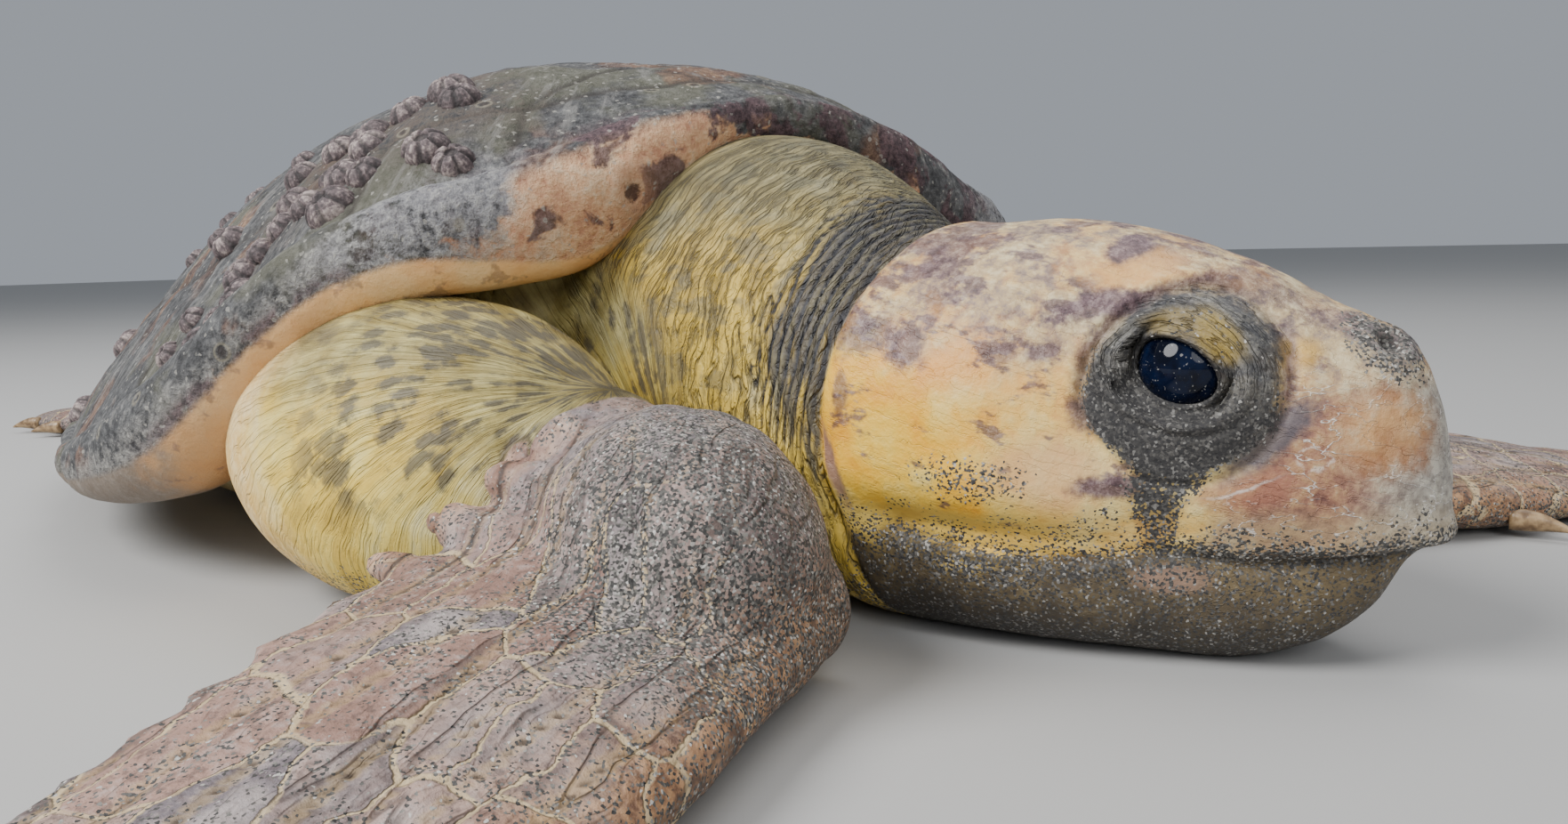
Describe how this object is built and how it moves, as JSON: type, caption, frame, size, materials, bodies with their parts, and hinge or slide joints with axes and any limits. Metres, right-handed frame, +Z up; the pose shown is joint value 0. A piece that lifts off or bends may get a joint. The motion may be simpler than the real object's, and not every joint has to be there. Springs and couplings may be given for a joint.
{
  "type": "loggerhead sea turtle model",
  "caption": "Life-size still model of a loggerhead sea turtle resting on its belly plate, head raised off the sand and turned a little aside, flippers spread.",
  "frame": {"origin": "on the floor below the middle of the bounding box", "axes": "+X runs forwards to the head, +Y to the turtle's left, +Z up"},
  "size_m": [1.4056, 1.0284, 0.3077],
  "materials": {
    "shell": "rough horn under a dull silt and algae coat",
    "plastron": "satin horn",
    "skin": "wrinkled scaly hide",
    "head_skin": "smooth scaly hide",
    "flipper_skin": "creased scaly hide",
    "jaw": "horn and hide",
    "claw": "horn",
    "eye": "wet gloss"
  },
  "bodies": {
    "root": {"nuchal": "shell", "vertebral_1": "shell", "vertebral_2": "shell", "vertebral_3": "shell", "vertebral_4": "shell", "vertebral_5": "shell", "costal_left_1": "shell", "costal_left_2": "shell", "costal_left_3": "shell", "costal_left_4": "shell", "costal_left_5": "shell", "marginals_left_front": "shell", "marginals_left_side": "shell", "marginals_left_rear": "shell", "costal_right_1": "shell", "costal_right_2": "shell", "costal_right_3": "shell", "costal_right_4": "shell", "costal_right_5": "shell", "marginals_right_front": "shell", "marginals_right_side": "shell", "marginals_right_rear": "shell", "plastron": "plastron", "head": "head_skin", "lower_jaw": "jaw", "neck": "skin", "trunk": "skin", "tail": "skin", "upper_arm_left": "skin", "fore_flipper_left": "flipper_skin", "thigh_left": "skin", "hind_flipper_left": "flipper_skin", "eye_left": "eye", "claw_fore_left_1": "claw", "claw_fore_left_2": "claw", "claw_hind_left_1": "claw", "claw_hind_left_2": "claw", "upper_arm_right": "skin", "fore_flipper_right": "flipper_skin", "thigh_right": "skin", "hind_flipper_right": "flipper_skin", "eye_right": "eye", "claw_fore_right_1": "claw", "claw_fore_right_2": "claw", "claw_hind_right_1": "claw", "claw_hind_right_2": "claw"}
  },
  "joints": []
}
